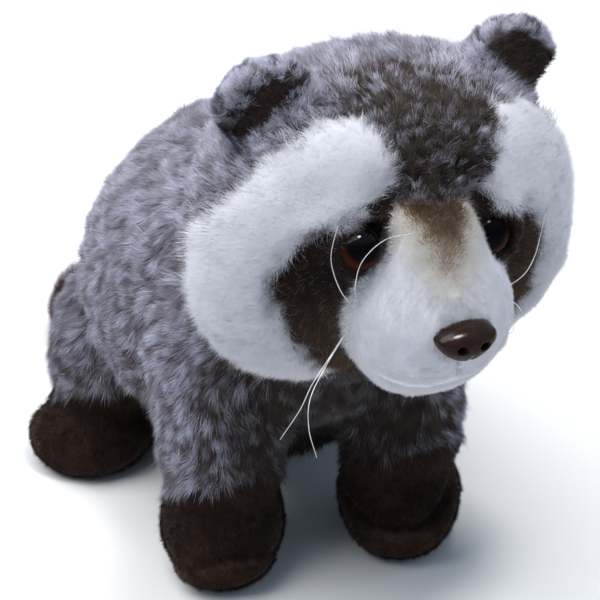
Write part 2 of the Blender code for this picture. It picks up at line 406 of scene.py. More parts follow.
# markings as outlines in the head's own angles: degrees round from the nose, and up from the cheeks
face = dict(
    patchRight=[
        (-26, 57), (-18, 48), (-18, 41), (-28, 33), (-39, 28), (-49, 20), (-56, 3), (-51, -10), (-45, -26),
        (-37, -44), (-50, -48), (-62, -39), (-74, -28), (-81, -17), (-85, -8), (-86, 5), (-77, 12), (-72, 24),
        (-69, 38), (-58, 57), (-42, 60)],
    patchLeft=[
        (27, 31), (32, 39), (40, 46), (50, 52), (63, 48), (73, 38), (77, 22), (79, 6), (80, -7), (79, -17),
        (73, -28), (62, -39), (50, -48), (37, -44), (43, -26), (46, -10), (46, 8), (45, 14), (30, 26)],
    mask=[
        (-14, 36), (-19, 42), (-34, 38), (-52, 26), (-62, 3), (-55, -14), (-47, -30), (-36, -46), (-18, -46),
        (0, -20), (18, -46), (36, -46), (48, -26), (52, -8), (51, 8), (44, 24), (30, 31), (18, 34)],
    muzzle=[
        (-17, 34), (-20, 24), (-22, 15), (-27, 8), (-32, 0), (-34, -9), (-33, -18), (-30, -29), (-24, -43),
        (0, -52), (24, -43), (30, -29), (33, -18), (33, -9), (30, 0), (25, 8), (21, 15), (20, 24), (18, 31)],
    edge=1.6, muzzleEdge=1.2, wobble=5.0, eyes=((-0.02, -0.036, 0.004), (0.02, -0.036, 0.0)))

# other markings, in metres on the head or on the toy; pairs are for the toy's right and left
bridge = dict(top=0.02, tip=-0.0165, width=0.0138, narrowing=1.85, edge=0.005, darkFrom=(-0.004, 0.011))
# a brown ring in the fur round the nose
noseBrown = dict(place=(0.0022, -0.06, -0.016), stretch=(1.5, 1, 1), reach=(0.0074, 0.006), amount=0.3)
brow = dict(fade=(0.056, 0.02), earX=0.034, earZ=0.028, earReach=0.009, underEar=(0.8, 0.5), onLeftEar=0.3)
lining = dict(out=(0.042, 0.0438), up=(0.036, 0.0345), halfLength=0.0145, halfWidth=(0.005, 0.0064),
              fray=(1.0, 0.22))
pawSeam = dict(fore=0.0424, foreSlope=0.55, foreMiddle=-0.064, hind=0.0355, hindSlope=0.44, hindMiddle=0.021,
               edge=0.0006)


def headAngles(places):
    # round is atan2(x, -y) and up is atan2(z, across), about a point below the head's centre
    x, y, z = (places + (0, 0, 0.01)).T
    return np.degrees(np.stack([np.arctan2(x, -y), np.arctan2(z, np.hypot(x, y))], axis=1))


def insidePatches(angles):
    # depth inside the nearer of the two white patches, in degrees
    return np.maximum(insideBy(angles, face["patchRight"]), insideBy(angles, face["patchLeft"]))


def faceMarks(places, points, onKind, near):
    # the white patches, the dark mask, the muzzle and what is dyed on the muzzle and over the brow
    x, y, z = places.T
    angles = headAngles(places)
    wobble = wander(points, 0.0035, 3, face["wobble"])
    edge, muzzleEdge = face["edge"], face["muzzleEdge"]
    muzzle = ramp(insideBy(angles, face["muzzle"]) + 0.25 * wobble, -muzzleEdge, muzzleEdge) * near
    patch = ramp(insidePatches(angles) + wobble, -edge, edge) * near
    mask = ramp(insideBy(angles, face["mask"]) + 0.4 * wobble, -edge, edge) * near * (1 - patch)
    grow = np.clip((z - bridge["tip"]) / (bridge["top"] - bridge["tip"]), 0, 1)
    ragged = wander(points, 0.0025, 7, 0.004)
    spread = bridge["width"] * grow ** bridge["narrowing"] - np.abs(x - 0.0004 - 0.0006 * (1 - grow)) + ragged
    stripe = ramp(spread, -bridge["edge"], bridge["edge"]) * ramp(grow, 0.04, 0.9) * ramp(muzzle, 0.0, 0.35)
    byNose = np.linalg.norm((places - noseBrown["place"]) / noseBrown["stretch"], axis=1) + 0.3 * ragged
    brownOnMuzzle = np.maximum(stripe, noseBrown["amount"] * ramp(byNose, *noseBrown["reach"]) * muzzle)
    underEar = np.exp(-((np.abs(x) - brow["earX"]) ** 2 + (z - brow["earZ"]) ** 2) / brow["earReach"] ** 2)
    overEyes = ramp(z, *brow["fade"]) * ramp(np.abs(x - 0.003), 0.04, 0.01) * ramp(y, 0.004, -0.02)
    dark = np.maximum(overEyes, bySide(x, *brow["underEar"]) * underEar * ramp(y, 0.006, -0.006))
    return dict(
        patch=patch * (1 - muzzle), mask=mask * (1 - muzzle), muzzle=muzzle, bridge=brownOnMuzzle,
        bridgeDark=ramp(z + 1.5 * ragged, *bridge["darkFrom"]) * stripe,
        cream=np.exp(-np.minimum(spread, 0) ** 2 / 0.009 ** 2) * ramp(grow, 0.0, 0.6) * muzzle,
        brow=np.maximum(dark * near * (1 - muzzle), brow["onLeftEar"] * onKind["ear"] * (x > 0)))


def earMark(places, points, normals, onKind):
    # dark cloth inside a pale rim: a slanting oval on the side that faces ahead
    x, y, z = places.T
    out, up = np.abs(x) - bySide(x, *lining["out"]), z - bySide(x, *lining["up"])
    slant = out * 0.77 - up * 0.63
    rise = out * 0.63 + up * 0.77
    oval = 1 - np.sqrt((slant / lining["halfLength"]) ** 2 + (rise / bySide(x, *lining["halfWidth"])) ** 2)
    frayed = (wander(points, 0.0045, 5, 1.2) + wander(points, 0.0018, 6, 1.1)) * bySide(x, *lining["fray"])
    facing = ramp(-(normals @ headWays((0, 1, 0))), 0.05, 0.45)
    return ramp(oval + 0.12 + frayed, -0.08, 0.14) * facing * ramp(onKind["ear"], 0.3, 0.6)


def pawMark(points, onKind):
    # the dark cloth of each foot ends in a slanting seam across its leg
    x, y, z = points.T
    seam = wander(points, 0.003, 11, 0.003) - z
    edge = pawSeam["edge"]
    fore = ramp(pawSeam["fore"] + seam - pawSeam["foreSlope"] * (y - pawSeam["foreMiddle"]), -edge, edge)
    hind = ramp(pawSeam["hind"] + seam - pawSeam["hindSlope"] * (y - pawSeam["hindMiddle"]), -edge, edge)
    return np.where(y < -0.012, fore * ramp(onKind["forepaw"] + onKind["foreleg"], 0.3, 0.6),
                    hind * ramp(onKind["hindfoot"] + onKind["haunch"], 0.25, 0.5)
                    * (y < 0.06) * (np.abs(x) > 0.03))


def markings(points, normals, onKind):
    # how far each dyed fabric, and the painted shade, covers the given places, 0 to 1
    places = onHead(points)
    near = np.clip(onKind["head"] + onKind["muzzle"] + 0.6 * onKind["ear"], 0, 1) > 0.35
    found = faceMarks(places, points, onKind, near)
    found["earDark"] = earMark(places, points, normals, onKind)
    found["paw"] = pawMark(points, onKind)
    found["tail"] = ramp(onKind["tail"], 0.35, 0.65)
    # painted shade on the chest and inner legs under the head, on down-facing pile and low on the haunches,
    # with partly darker pile on the chest: these keep less of the pale frosting
    x, y, z = points.T
    found["dusk"] = np.clip(ramp(np.abs(x), 0.05, 0.024) * ramp(z, 0.094, 0.066) * ramp(y, 0.0, -0.03)
                            + ramp(normals[:, 2], -0.3, -0.8)
                            + 0.28 * onKind["haunch"] * ramp(z, 0.085, 0.045), 0, 1) * (1 - found["tail"])
    found["grey"] = np.clip(1 - found["patch"] - found["mask"] - found["muzzle"] - found["earDark"]
                            - found["paw"], 0, 1)
    return found


tail = dict(rings=3.5, path=[(0.006, 0.0718, 0.036), (-0.016, 0.0898, 0.022), (-0.031, 0.1098, 0.0155),
                             (-0.029, 0.1318, 0.0145), (-0.008, 0.1448, 0.0135)])


def alongTail(points):
    # share of the tail's length at the nearest point of its middle line
    u = np.linspace(0, 1, 60)
    return u[np.argmin(squaresTo(points, curveThrough(tail["path"], u)), axis=1)]


dyes = dict(
    browRoot=(0.026, 0.019, 0.0155), browTip=(0.024, 0.017, 0.014),
    greyRoot=(0.072, 0.051, 0.041), greyTip=(0.63, 0.635, 0.81), greyDarkTip=(0.058, 0.041, 0.033),
    whiteRoot=(0.67, 0.67, 0.71), whiteTip=(0.71, 0.72, 0.78),
    maskRoot=(0.01, 0.0062, 0.0052), maskTip=(0.0155, 0.0086, 0.0067), maskEdge=(0.085, 0.053, 0.032),
    pawRoot=(0.011, 0.006, 0.0044), pawTip=(0.0185, 0.0083, 0.0056), pawWorn=(0.051, 0.025, 0.0155),
    cream=(0.53, 0.5, 0.46), bridge=(0.27, 0.18, 0.105), bridgeDark=(0.04, 0.022, 0.012),
    earRoot=(0.01, 0.0062, 0.0055), earTip=(0.05, 0.032, 0.029), speck=(0.27, 0.2, 0.165))


def dye(name):
    return np.array(dyes[name])


def tipAndRoot(found, points, frost, streak):
    # the colours of tips and roots: grey where nothing else covers it, paler with more frosting
    x, y, z = onHead(points).T
    # less frosting and darker tips and roots under the brow's dye and where shade is painted on the chest,
    # legs and underside
    frost = np.clip(frost - 0.4 * found["brow"] - 0.68 * found["dusk"], 0, 1)
    gloom = np.maximum(found["brow"], 0.95 * found["dusk"])
    tip = mixed(dye("greyDarkTip"), dye("greyTip"), frost[:, None])
    tip = mixed(tip, dye("browTip"), (0.6 * gloom * (1 - frost))[:, None])
    root = mixed(dye("greyRoot"), dye("browRoot"), gloom[:, None])
    bands = ramp(np.cos(alongTail(points) * 2 * pi * tail["rings"]), -0.25, 0.25) * found["tail"]
    # the mask's outer and lower edges turn reddish brown: partly the cloth's own colour, partly painted sheen
    sheenAndReddish = found["mask"] * np.clip(0.6 * ramp(-x, 0.037, 0.052) + 0.45 * ramp(z, -0.006, -0.022)
                                      + 0.75 * ramp(x, 0.026, 0.038), 0, 1)
    cloudy = mixed(softNoise(points, 0.009, 61), softNoise(points, 0.0028, 62), 0.5)
    # paler brown towards the bottoms of the feet and in soft clouds, more on the forepaws
    lowerPawTone = found["paw"] * np.where(points[:, 1] < -0.012, 1, 0.6) * np.clip(
        0.5 * ramp(points[:, 2], 0.026, 0.004) + 2.2 * (cloudy - 0.48), 0, 1)
    for tipDye, rootDye, amount in (
            ("pawTip", "pawRoot", bands), ("whiteTip", "whiteRoot", found["patch"]),
            ("maskTip", "maskRoot", found["mask"]), ("maskEdge", None, sheenAndReddish),
            ("whiteTip", "whiteRoot", found["muzzle"]), ("cream", "cream", found["cream"]),
            ("bridge", "bridge", streak), ("bridgeDark", "bridgeDark", found["bridgeDark"] * streak),
            ("earTip", "earRoot", found["earDark"]), ("pawTip", "pawRoot", found["paw"]),
            ("pawWorn", "pawTip", lowerPawTone)):
        tip = mixed(tip, dye(tipDye), amount[:, None])
        root = mixed(root, dye(rootDye), amount[:, None]) if rootDye else root
    return tip, root


normals = pointNormals(outer)
marks = markings(outer, normals, shareOfKind)
depth = sum(shareOfKind[kind] * cloth["depth"][kind] for kind in shareOfKind) + cloth["join"]
for fabric, under in cloth["fabricDepth"].items():
    depth = mixed(depth, under, marks[fabric])
places = onHead(outer)
ring = cloth["eyeRing"]
eyeAway = np.minimum(*(np.linalg.norm(places - middle, axis=1) for middle in face["eyes"]))
depth = mixed(depth, ring["depth"], ramp(eyeAway, *ring["reach"]) * (1 - marks["muzzle"]))
ring = cloth["noseRing"]
noseAway = np.linalg.norm((places - ring["place"]) / ring["stretch"], axis=1)
depth = mixed(depth, ring["depth"], ramp(noseAway, *ring["reach"]))
depth = relaxed(depth, 4)
skin = outer - normals * depth[:, None]

# the panels pull the bridge slimmer and lower between the eyes, the right cheek in and the chin up
pulled = dict(slim=0.09, sink=0.0035, cheek=0.0026, chin=0.0012)
x, y, z = onHead(skin).T
slim = ramp(z, -0.02, 0.003) * ramp(np.abs(x), 0.027, 0.018) * ramp(y, -0.028, -0.038)
skin = offHead(np.stack([x * (1 - pulled["slim"] * slim), y + slim * pulled["sink"], z], axis=1))
x, y, z = onHead(skin).T
cheekIn = ramp(-x, 0.01, 0.024) * ramp(y, -0.028, -0.04) * ramp(z, 0.006, -0.006)
chinUp = ramp(z, -0.026, -0.038) * ramp(y, -0.028, -0.04)
skin = offHead(np.stack([x + cheekIn * pulled["cheek"], y, z + chinUp * pulled["chin"]], axis=1))
# cloth runs on behind the nose, over its mount: a bulge in x and z that meets the muzzle all round
cover = dict(middle=(0.0006, -0.0158), reach=(0.0115, 0.0085), farthest=0.0592)
x, y, z = onHead(skin).T
low = (z + 0.0155) / 0.0085
bulge = -(cover["farthest"] - 0.0012 * low ** 2 - 0.0028 * low - 0.0008 * (x / 0.011) ** 2)
aside, above = (x - cover["middle"][0]) / cover["reach"][0], (z - cover["middle"][1]) / cover["reach"][1]
behindNose = (np.hypot(aside, above) < 1) & (y < -0.045)
skin = offHead(np.stack([x, np.where(behindNose, np.minimum(y, bulge), y), z], axis=1))
# the feet are stuffed a little further to the right, the hind ones more
feet = dict(fore=0.0015, hind=0.002)
x, y, z = skin.T
skin[:, 0] -= ramp(z, 0.05, 0.018) * mixed(feet["fore"], feet["hind"], ramp(y, -0.02, 0.0)) \
    * ((y < -0.02) | (x < -0.03)) * ramp(y, 0.065, 0.05)
skin = relaxed(skin, 10, pull=0.55, push=0.45)
byNose = np.linalg.norm((onHead(skin) - (0.0008, -0.058, -0.0157)) / (1.2, 1, 1), axis=1)
skin = mixed(skin, relaxed(skin, 14), ramp(byNose, 0.015, 0.0085)[:, None])
normals = unit(relaxed(pointNormals(skin), 3))

# creases sewn into the cloth
crease = dict(muzzle=0.0014, patch=0.001, mouth=0.0026, breadth=2.2, mouthBreadth=0.0011)
mouth = dict(
    line=[(-0.0175, -0.03), (-0.0115, -0.0308), (-0.007, -0.031), (-0.0025, -0.0303), (0.0008, -0.0283),
          (0.0041, -0.0303), (0.0086, -0.031), (0.0131, -0.0308), (0.0191, -0.03)],
    seam=[(0.0008, -0.0283), (0.0008, -0.02)])
angles = headAngles(onHead(skin))
onFace = (shareOfKind["head"] + shareOfKind["muzzle"]) > 0.4
muzzleLine = bell(insideBy(angles, face["muzzle"]), crease["breadth"]) * onFace
patchLine = bell(insidePatches(angles), crease["breadth"]) * onFace


def mouthNear(points):
    # distance to the stitched mouth line and the short seam from it up to the nose, seen from the front
    places = onHead(points)
    flat = places[:, [0, 2]]
    line = np.vstack([curveThrough(mouth["line"], np.linspace(0, 1, 40)), np.linspace(*mouth["seam"], 12)])
    away = np.sqrt(np.min(np.sum((flat[:, None] - line[None]) ** 2, axis=2), axis=1))
    return np.where(places[:, 1] < -0.04, away, 1.0)


front = onFace & (onHead(skin)[:, 1] < -0.035)
mouthAway = np.ones(len(skin))
mouthAway[front] = mouthNear(skin[front])
mouthLine = bell(mouthAway, crease["mouthBreadth"])
skin = skin - normals * (muzzleLine * crease["muzzle"] + patchLine * crease["patch"]
                         + mouthLine * crease["mouth"])[:, None]
# a curved groove across each forepaw over its toes, and a small swell under it
toes = dict(height=(0.016, 0.0152), bend=(-22.0, 12.0), middle=(-0.038, 0.021), depth=(0.0009, 0.003),
            width=0.0018, swell=0.0008, swellBelow=0.0055, swellWidth=0.004)
x, y, z = skin.T
toeLine = bySide(x, *toes["height"]) + bySide(x, *toes["bend"]) * (x - bySide(x, *toes["middle"])) ** 2
overToes = z - toeLine
ahead = ramp(-normals[:, 1] + 0.5 * np.abs(normals[:, 0]), 0.15, 0.55) * ramp(y, -0.04, -0.05) \
    * ramp(marks["paw"], 0.3, 0.7)
toeGroove = bell(overToes, toes["width"]) * ahead * bySide(x, *toes["depth"])
toeSwell = toes["swell"] * ahead * bell(overToes + toes["swellBelow"], toes["swellWidth"])
skin = skin - normals * (toeGroove - toeSwell)[:, None]
skin[:, 2] = np.maximum(skin[:, 2], 0.0012)

# the pile's lie: which way the strands lean, for each part of the toy
lies = dict(
    trunk=(0, 0.8, -0.6), neck=(0, 0.75, -0.7), foreleg=(0, 0.2, -1.0), haunch_right=(-0.15, 0.35, -0.9),
    haunch_left=(0.15, 0.35, -0.9), forepaw=(-0.25, -1.0, -0.35), hindfoot_right=(-0.8, -0.6, -0.3),
    hindfoot_left=(0.8, -0.6, -0.3), tail_root=(-0.6, 0.7, -0.35), tail_middle=(-0.15, 1.0, 0),
    tail_tip=(0.75, 0.55, 0), ear_right=(-0.3, 0.1, 1.0), ear_left=(0.3, 0.1, 1.0))
lie = np.zeros_like(skin)
for name in fleshNodes:
    if kindOf[name] not in ("head", "muzzle"):
        lie += share[name][:, None] * unit(np.array(lies.get(name) or lies[kindOf[name]]))
fromNose = onHead(skin) - (0, -0.03, -0.012)
spread = unit(fromNose * (1, 0.6, 1) + (0, 0.012, -0.006))
lie += (shareOfKind["head"] + shareOfKind["muzzle"])[:, None] * unit(headWays(spread))
lie = relaxed(unit(flattened(lie, normals)), 36)
for node in ("eye_right", "eye_left"):
    toEye = middleOf(node) - skin
    lie = mixed(lie, unit(toEye), ramp(np.linalg.norm(toEye, axis=1), 0.0125, 0.0095)[:, None])
lie = unit(flattened(lie, normals))

skinMesh.vertices.foreach_set("co", skin.ravel())
skinTip, skinRoot = tipAndRoot(marks, skin, np.full(len(skin), 0.35), 0.8 * marks["bridge"])
shortPile = np.clip(marks["patch"] + marks["muzzle"] + marks["mask"] + marks["paw"], 0, 1)
# the cloth is painted darker along the mouth's crease: painted shade
backing = mixed(skinRoot, skinTip, (0.25 + 0.7 * shortPile)[:, None]) * (1 - 0.2 * mouthLine[:, None])
speckled = np.clip(marks["mask"] + 0.7 * marks["paw"] + marks["earDark"], 0, 1)
tint = skinMesh.color_attributes.new("tint", "FLOAT_COLOR", "POINT")
tint.data.foreach_set("color", np.hstack([backing, speckled[:, None]]).ravel())
skinMesh.uv_layers.new(name="OFBake")
skinMesh.shade_smooth()
skinMesh.materials.append(clothFinish())
plushSkin = placed("plushSkin", skinMesh)
bpy.context.view_layer.objects.active = plushSkin
bpy.ops.object.select_all(action="DESELECT")
plushSkin.select_set(True)
bpy.ops.object.mode_set(mode="EDIT")
bpy.ops.mesh.select_all(action="SELECT")
bpy.ops.uv.smart_project(angle_limit=1.15, island_margin=0.004, scale_to_bounds=True)
bpy.ops.object.mode_set(mode="OBJECT")
skinMap = numbersOf(skinMesh.uv_layers["OFBake"].data, "uv", 2).reshape(-1, 4, 2)
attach(plushSkin, "root")
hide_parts(*fleshNodes)
print("skin", len(skin), "points")

area = np.linalg.norm(faceNormals(skin), axis=1) / 2


def sampled(zone, count, rng):
    # roots spread by area times the zone's weight, at an even step through the running total
    weight = area * zone[quads].mean(axis=1)
    running = np.cumsum(weight)
    picks = (np.arange(count) + rng.random(count)) / count * running[-1]
    chosen = np.minimum(np.searchsorted(running, picks), len(quads) - 1)
    s, t = rng.random(count), rng.random(count)
    corners = np.stack([(1 - s) * (1 - t), s * (1 - t), s * t, (1 - s) * t], axis=1)
    return chosen, corners


def readAt(values, chosen, corners):
    # a field of the skin's points, blended over a quad: (1-s)(1-t)a + s(1-t)b + st c + (1-s)t d
    rows = values[quads[chosen]]
    return np.sum(rows * (corners if rows.ndim == 2 else corners[:, :, None]), axis=1)


def turned(lean, up, angle):
    # directions turned about the normals: lean*cos + (up x lean)*sin
    return lean * np.cos(angle)[:, None] + np.cross(up, lean) * np.sin(angle)[:, None]


def sewStrands(name, slotName, vertices, shades, uvs, shading):
    # loose triangles in one piece, each shaded by its own normal and dyed from base to tip
    count = len(vertices)
    mesh = bpy.data.meshes.new(name)
    mesh.vertices.add(count * 3)
    mesh.vertices.foreach_set("co", vertices.ravel())
    mesh.loops.add(count * 3)
    mesh.loops.foreach_set("vertex_index", np.arange(count * 3, dtype=np.int32))
    mesh.polygons.add(count)
    mesh.polygons.foreach_set("loop_start", np.arange(0, count * 3, 3, dtype=np.int32))
    mesh.update(calc_edges=True)
    mesh.shade_smooth()
    colours = mesh.color_attributes.new("tint", "FLOAT_COLOR", "POINT")
    colours.data.foreach_set("color", np.concatenate([shades, np.ones((count, 3, 1))], axis=2).ravel())
    mesh.uv_layers.new(name="OFBake").data.foreach_set("uv", uvs.ravel())
    mesh.normals_split_custom_set_from_vertices(np.repeat(shading, 3, axis=0))
    mesh.materials.append(plush[slotName])
    piece = placed(name, mesh)
    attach(piece, "root")


# for all piles: the most strands in a piece, half a strand's patch on the map, how far roots are sunk and how
# low tips reach; how the outer cheeks differ; and how much painted shade darkens the pile in creases and
# underneath
sewing = dict(most=190000, quickShare=0.25, halfPatch=0.0015, sunk=0.0004, floor=0.0004)
cheek = dict(around=(48, 76), above=(42, 22), longer=0.75, steeper=0.25, paler=0.09)
paintedShade = dict(stitch=0.45, stitchReach=0.0008, below=0.22, toes=180)
# frosting is lost on top and behind, where its contrasts are calmer too; then how strands and locks differ
frosting = dict(top=0.2, facingUp=(0.35, 0.95), back=0.13, behind=(-0.045, 0.01), calmTop=0.45,
                sloping=(-0.2, 0.7), calmBack=0.25)
strand = dict(lengths=0.15, shorterInValley=0.25, rises=0.06, lockRises=0.7, widths=(0.75, 1.25), specks=0.8)


def growPile(name, slotName, zone, pile, seed):
    # strands: thin triangles from root to root + (lie*run + normal*rise)*length + a pull into their lock
    rng = np.random.default_rng(seed)
    total = float(np.sum(area * zone[quads].mean(axis=1))) * 1e6
    count = int(total * pile["perSquareMm"] * (1))
    chosen, corners = spots = sampled(zone, count, rng)
    root, up = readAt(skin, *spots), unit(readAt(normals, *spots))
    lean = unit(flattened(readAt(lie, *spots), up))
    # the lie wanders over the cloth, and each lock has numbers of its own
    lean = turned(lean, up, wander(root, pile["swirlSize"], 41, pile["swirl"]))
    lockPlace, lock, within = nearestSeed(root, lean, pile["lock"], pile["stretch"], 31)
    lockPull, lockSteep, lockPale, lockLong = (lock * factor % 1 for factor in (5.1, 3.7, 5.7, 7.3))
    valley = 1 - ramp(within, 0.0, pile["edge"])
    own = rng.random(count)
    # frosting: less on what faces up or lies behind, in the valleys between locks, partly dark roots showing
    # and partly painted shade, and by chance
    behind = ramp(root[:, 1], *frosting["behind"])
    calm = (1 - frosting["calmTop"] * ramp(up[:, 2], *frosting["sloping"])) \
        * (1 - frosting["calmBack"] * behind)
    lost = frosting["top"] * ramp(up[:, 2], *frosting["facingUp"])
    frost = pile["frost"] - lost - frosting["back"] * behind - calm * (
        pile["valley"] * valley + pile["salt"] * (0.5 - own)
        + pile["patchy"] * (0.5 - softNoise(root, pile["patchSize"], 51)) + pile["clump"] * (0.5 - lockPale))
    lean = turned(lean, up, (lock - 0.5) * pile["lockTurn"] + rng.normal(0, pile["stray"], count))
    kinds = {kind: readAt(shareOfKind[kind], *spots) for kind in shareOfKind}
    found = markings(root, up, kinds)
    around, above = headAngles(onHead(root)).T
    # the outer cheeks grow longer, steeper pile, and their pile is painted paler: painted light
    outerCheek = ramp(np.abs(around), *cheek["around"]) * ramp(above, *cheek["above"]) * found["patch"]
    length = pile["length"] * (1 + (lockLong - 0.5) * pile["uneven"]) \
        * (1 + rng.normal(0, strand["lengths"], count)) * (1 - strand["shorterInValley"] * valley)
    length *= 1 - pile["earTrim"] * ramp(kinds["ear"], 0.2, 0.8)
    length *= 1 + cheek["longer"] * outerCheek
    rise = pile["rise"] * (1 + cheek["steeper"] * outerCheek) \
        * (1 + (lockSteep - 0.5) * strand["lockRises"]) + rng.normal(0, strand["rises"], count)
    run = np.sqrt(np.clip(1 - rise ** 2, 0.05, 1))
    pull = flattened(lockPlace - root, up)
    gather = pile["gather"] * (0.6 + 0.4 * lockPull)
    tip = root + (lean * run[:, None] + up * rise[:, None]) * length[:, None] + pull * gather[:, None]
    root = root - up * sewing["sunk"]
    tip[:, 2] = np.maximum(tip[:, 2], sewing["floor"])
    # each triangle is rolled a little about its length, and shaded as its cloth or lock
    along = unit(tip - root)
    roll = rng.normal(0, pile["roll"], count)[:, None]
    flat = unit(unit(np.cross(along, up)) * np.cos(roll) + up * np.sin(roll))
    half = flat * (pile["width"] / 2 * rng.uniform(*strand["widths"], count))[:, None]
    rounded = unit(up - pull * (pile["bulge"] / pile["lock"]))
    shading = unit(mixed(unit(np.cross(flat, along)), rounded, pile["soft"]))
    # painted shade along the mouth's stitches, under the body and in the toe grooves; painted light on the
    # outer cheeks
    tipShade, rootShade = tipAndRoot(found, root, frost, ramp(found["bridge"] * 1.5 - own, 0.0, 0.45))
    stitch = np.zeros(count)
    onMuzzle = found["muzzle"] > 0.5
    stitch[onMuzzle] = bell(mouthNear(root[onMuzzle]), paintedShade["stitchReach"])
    shade = (1 - paintedShade["stitch"] * stitch) * (1 - paintedShade["below"] * ramp(-up[:, 2], -0.05, 0.55)) \
        * (1 - paintedShade["toes"] * readAt(toeGroove, *spots)) * (1 + cheek["paler"] * outerCheek)
    vary = (shade * (1 + rng.normal(0, pile["vary"], count)))[:, None]
    tipShade, rootShade = np.clip(tipShade * vary, 0, 1), np.clip(rootShade * vary, 0, 1)
    # pale speck tips: partly pale fibres, partly painted glints
    tipShade = mixed(tipShade, dye("speck"), (own < pile["specks"])[:, None] * strand["specks"])
    baseShade = mixed(rootShade, tipShade, pile["baseShade"])
    vertices = np.stack([root - half, root + half, tip], axis=1)
    shades = np.stack([baseShade, baseShade, tipShade], axis=1)
    uvs = np.sum(skinMap[chosen] * corners[:, :, None], axis=1)[:, None] \
        + np.array([(-1, -1), (1, -1), (0, 1)]) * sewing["halfPatch"]
    pieces = int(np.ceil(count / sewing["most"]))
    order = np.argsort(root[:, 1] + root[:, 0] * 0.3, kind="stable")
    for k, rows in enumerate(np.array_split(order, pieces)):
        sewStrands(f"{name}{k + 1}" if pieces > 1 else name, slotName, vertices[rows], shades[rows],
                   uvs[rows], shading[rows])
    print(name, count, "strands")


longPile = dict(
    perSquareMm=11.6, length=0.007, rise=0.36, width=0.00027, lock=0.0031, stretch=2.5, gather=0.26,
    swirl=1.8, swirlSize=0.009, lockTurn=0.7, stray=0.22, uneven=0.3, vary=0.05, baseShade=0.5,
    valley=1.16, frost=1.06, patchy=0.3, patchSize=0.005, salt=0.28, specks=0.0, clump=0.12, edge=0.43,
    soft=1.0, bulge=0.6, roll=0.3, earTrim=0.35)
tailPile = dict(longPile, length=0.0085)
crownPile = dict(
    longPile, perSquareMm=17.0, length=0.0046, rise=0.6, width=0.00029, lock=0.0021, stretch=1.2, swirl=3.0,
    swirlSize=0.006, lockTurn=2.4, stray=0.35, gather=0.48, frost=0.84, patchy=0.8, patchSize=0.004, salt=1.0,
    valley=1.1, clump=1.2, edge=0.65, baseShade=0.36, bulge=1.0, earTrim=0)
earPile = dict(
    crownPile, perSquareMm=20.0, width=0.00022, salt=1.1, lockTurn=1.6, gather=0.3, bulge=0.6, baseShade=0.4,
    edge=0.7, length=0.0052, rise=0.66, lock=0.0028, frost=1.24, patchy=1.6, patchSize=0.0038, valley=0.45,
    clump=0.4, stray=0.45, earTrim=0.35)
whitePile = dict(
    longPile, perSquareMm=13.0, length=0.0034, rise=0.42, width=0.00016, lock=0.004, stretch=1.0, gather=0.0,
    swirl=0.8, swirlSize=0.02, lockTurn=0.2, stray=0.6, uneven=0.1, vary=0.01, baseShade=0.9, valley=0.0,
    bulge=0.0, roll=0.2, earTrim=0)
muzzlePile = dict(whitePile, length=0.0024, rise=0.4)
fringePile = dict(whitePile, perSquareMm=24.0, length=0.0043, rise=0.5, stray=1.0, width=0.00014)
lipPile = dict(fringePile, length=0.0028)
maskPile = dict(
    whitePile, perSquareMm=12.0, length=0.003, rise=0.45, lock=0.0022, stretch=1.2, width=0.0002, gather=0.1,
    lockTurn=0.4, uneven=0.3, vary=0.3, baseShade=0.5, soft=0.9, specks=0.045)
pawPile = dict(maskPile, perSquareMm=7.5, length=0.0028, rise=0.46, width=0.00022, vary=0.42, specks=0.0)

plush = dict(
    grey_plush=pileFinish("frostedPile", 0.1, 0.9, 0.12),
    white_plush=pileFinish("whitePile", 0.1, 0.95, 0.02),
    brown_plush=pileFinish("brownPile", 0.2, 0.85, 0.18, (0.8, 0.38, 0.27)))


def rimOf(zone):
    # 1 where a zone fades out, 0 well inside it and outside: 4t(1-t)
    return np.clip(4 * zone * (1 - zone), 0, 1)


grey, patch, muzzle = marks["grey"], marks["patch"], marks["muzzle"]
headZone = np.clip(shareOfKind["head"] - shareOfKind["ear"], 0, 1) * ramp(np.abs(angles[:, 0]), 112, 66)
earZone, tailZone = shareOfKind["ear"], shareOfKind["tail"]
bodyZone = np.clip(1 - headZone - shareOfKind["muzzle"] - earZone - tailZone, 0, 1)
unstitched = 1 - np.clip(mouthLine * 0.6, 0, 1)
piles = dict(
    bodyPile=("grey_plush", grey * bodyZone, longPile, 101),
    crownPile=("grey_plush", grey * headZone, crownPile, 102),
    earPile=("grey_plush", earZone * grey, earPile, 103),
    earLining=("brown_plush", marks["earDark"], maskPile, 104),
    tailPile=("brown_plush", tailZone, tailPile, 105),
    facePile=("white_plush", patch, whitePile, 106),
    faceFringe=("white_plush", rimOf(patch), fringePile, 110),
    muzzleFringe=("white_plush", rimOf(muzzle), lipPile, 111),
    maskPile=("brown_plush", marks["mask"], maskPile, 107),
    muzzlePile=("white_plush", muzzle * unstitched, muzzlePile, 108),
    pawPile=("brown_plush", marks["paw"], pawPile, 109))
for name, settings in piles.items():
    growPile(name, *settings)


def gridMesh(name, points, finish):
    # quads over rows and columns of points, the columns joined round
    rows, columns = points.shape[:2]
    index = np.arange(rows * columns).reshape(rows, columns)
    a, b = index[:-1], index[1:]
    faces = np.stack([a, np.roll(a, -1, axis=1), np.roll(b, -1, axis=1), b], axis=2).reshape(-1, 4)
    mesh = bpy.data.meshes.new(name)
    mesh.from_pydata(points.reshape(-1, 3).tolist(), [], faces.tolist())
    shell = bmesh.new()
    shell.from_mesh(mesh)
    bmesh.ops.remove_doubles(shell, verts=shell.verts, dist=1e-6)
    bmesh.ops.holes_fill(shell, edges=shell.edges)
    bmesh.ops.recalc_face_normals(shell, faces=shell.faces)
    shell.to_mesh(mesh)
    shell.free()
    mesh.shade_smooth()
    mesh.materials.append(finish)
    return placed(name, mesh)


